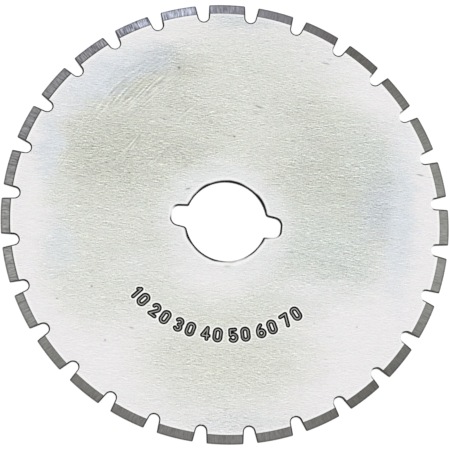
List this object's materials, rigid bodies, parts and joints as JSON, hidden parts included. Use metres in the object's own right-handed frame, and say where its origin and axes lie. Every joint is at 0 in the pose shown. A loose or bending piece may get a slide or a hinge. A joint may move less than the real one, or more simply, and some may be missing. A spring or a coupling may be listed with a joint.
{
  "type": "perforating rotary cutter blade",
  "caption": "Thin round steel blade with a notched, double-bevelled cutting rim and an eared arbor hole, for a hand-held rotary cutter.",
  "frame": {"origin": "on the arbor hole's axis, at the blade's underside", "axes": "+Z out of the upper face, which has the drawn-in punched edges; X through the two ears of the arbor hole"},
  "size_m": [0.045, 0.045, 0.0003],
  "materials": {
    "blade_steel": "fine ground faces with a straight grain, darker ground bevels"
  },
  "bodies": {
    "root": {"blade": "blade_steel"}
  },
  "joints": []
}
